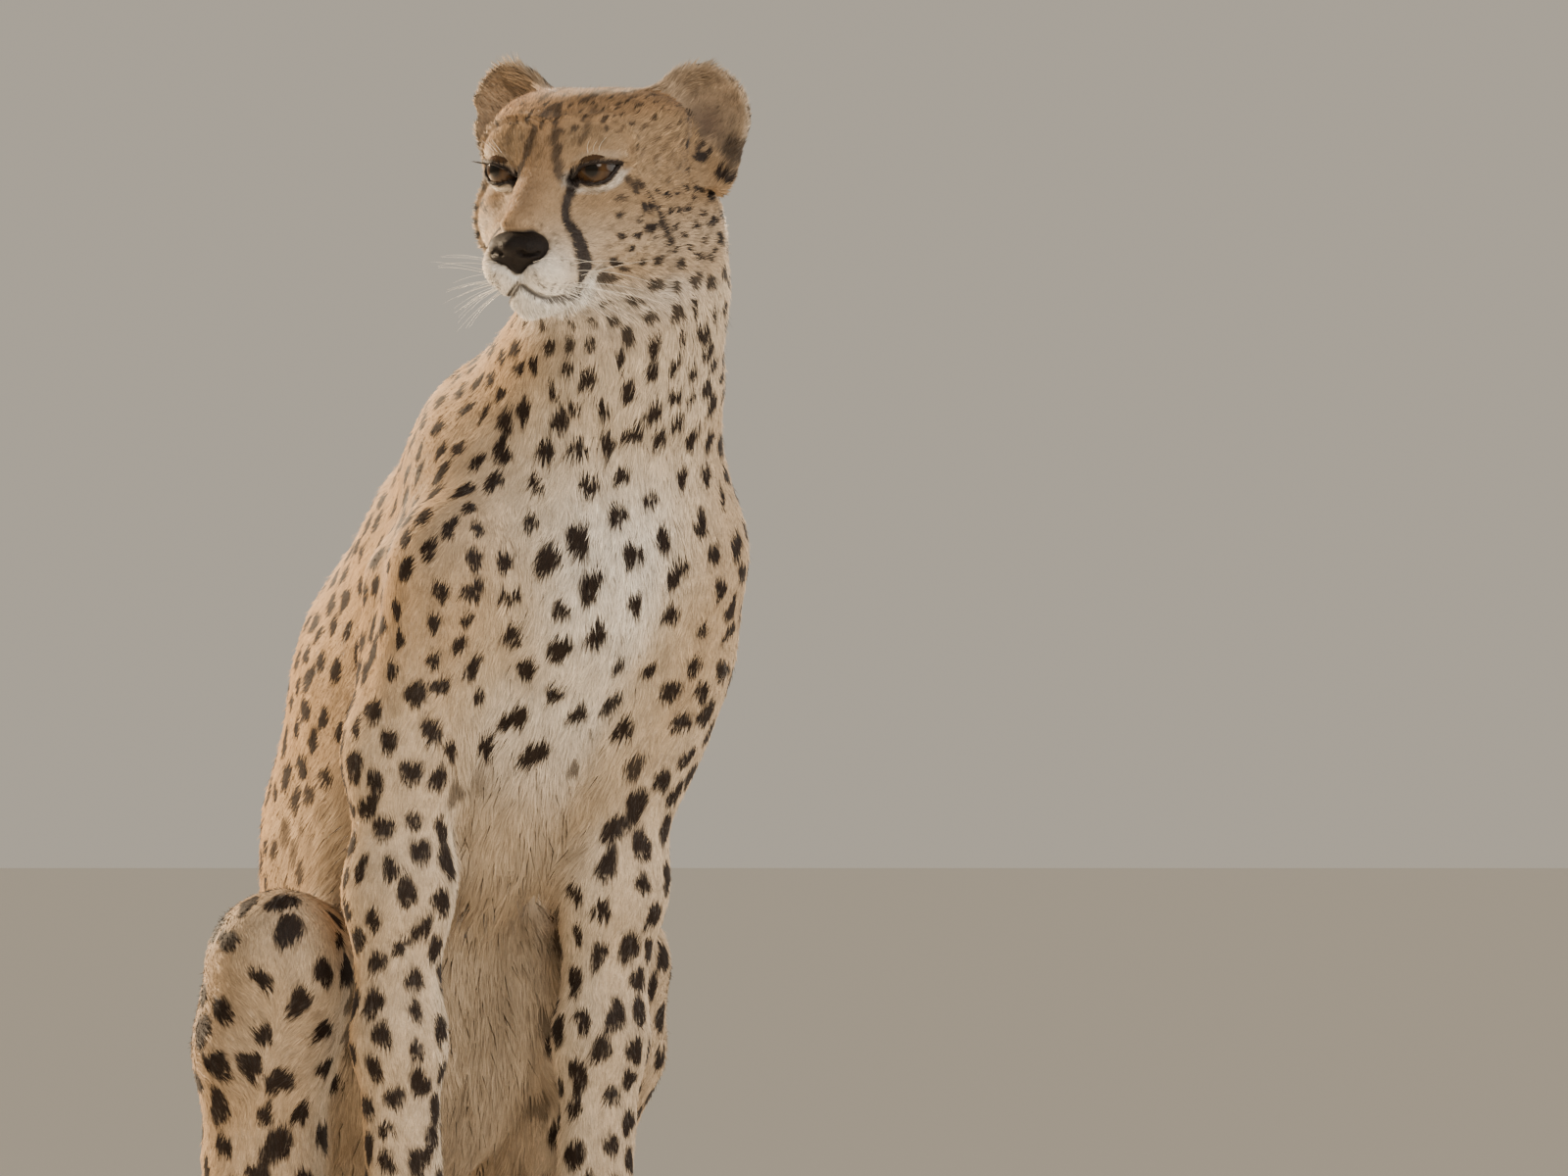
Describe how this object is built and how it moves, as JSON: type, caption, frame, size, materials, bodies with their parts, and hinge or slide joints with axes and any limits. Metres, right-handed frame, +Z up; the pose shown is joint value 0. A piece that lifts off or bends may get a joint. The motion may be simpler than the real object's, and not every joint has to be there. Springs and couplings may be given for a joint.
{
  "type": "cheetah",
  "caption": "Life-size cheetah sitting upright on straight forelegs, its head turned to its right and its tail laid along the floor on its left.",
  "frame": {"origin": "centre of the footprint at the floor", "axes": "+Z up, the body faces -Y, +X is the animal's left"},
  "size_m": [0.3914, 0.7124, 0.8981],
  "materials": {
    "coat": "short tawny fur with solid dark spots, white on the chest, muzzle and belly",
    "ear": "short fur, pale inside and black behind",
    "eye": "wet amber-brown iris with a round dark pupil",
    "nose": "finely grained, moist and dark",
    "claw": "smooth horn"
  },
  "bodies": {
    "root": {"claw_forepaw_left_1": "claw", "claw_forepaw_left_2": "claw", "claw_forepaw_left_3": "claw", "claw_forepaw_left_4": "claw", "claw_forepaw_right_1": "claw", "claw_forepaw_right_2": "claw", "claw_forepaw_right_3": "claw", "claw_forepaw_right_4": "claw", "claw_hindfoot_left_1": "claw", "claw_hindfoot_left_2": "claw", "claw_hindfoot_left_3": "claw", "claw_hindfoot_left_4": "claw", "claw_hindfoot_right_1": "claw", "claw_hindfoot_right_2": "claw", "claw_hindfoot_right_3": "claw", "claw_hindfoot_right_4": "claw", "ear_left": "ear", "ear_right": "ear", "eye_left": "eye", "eye_right": "eye", "foreleg_left": "coat", "foreleg_right": "coat", "forepaw_left": "coat", "forepaw_right": "coat", "head": "coat", "hindfoot_left": "coat", "hindfoot_right": "coat", "neck": "coat", "nose": "nose", "tail_middle": "coat", "tail_root": "coat", "tail_tip": "coat", "thigh_left": "coat", "thigh_right": "coat", "trunk": "coat"}
  },
  "joints": []
}
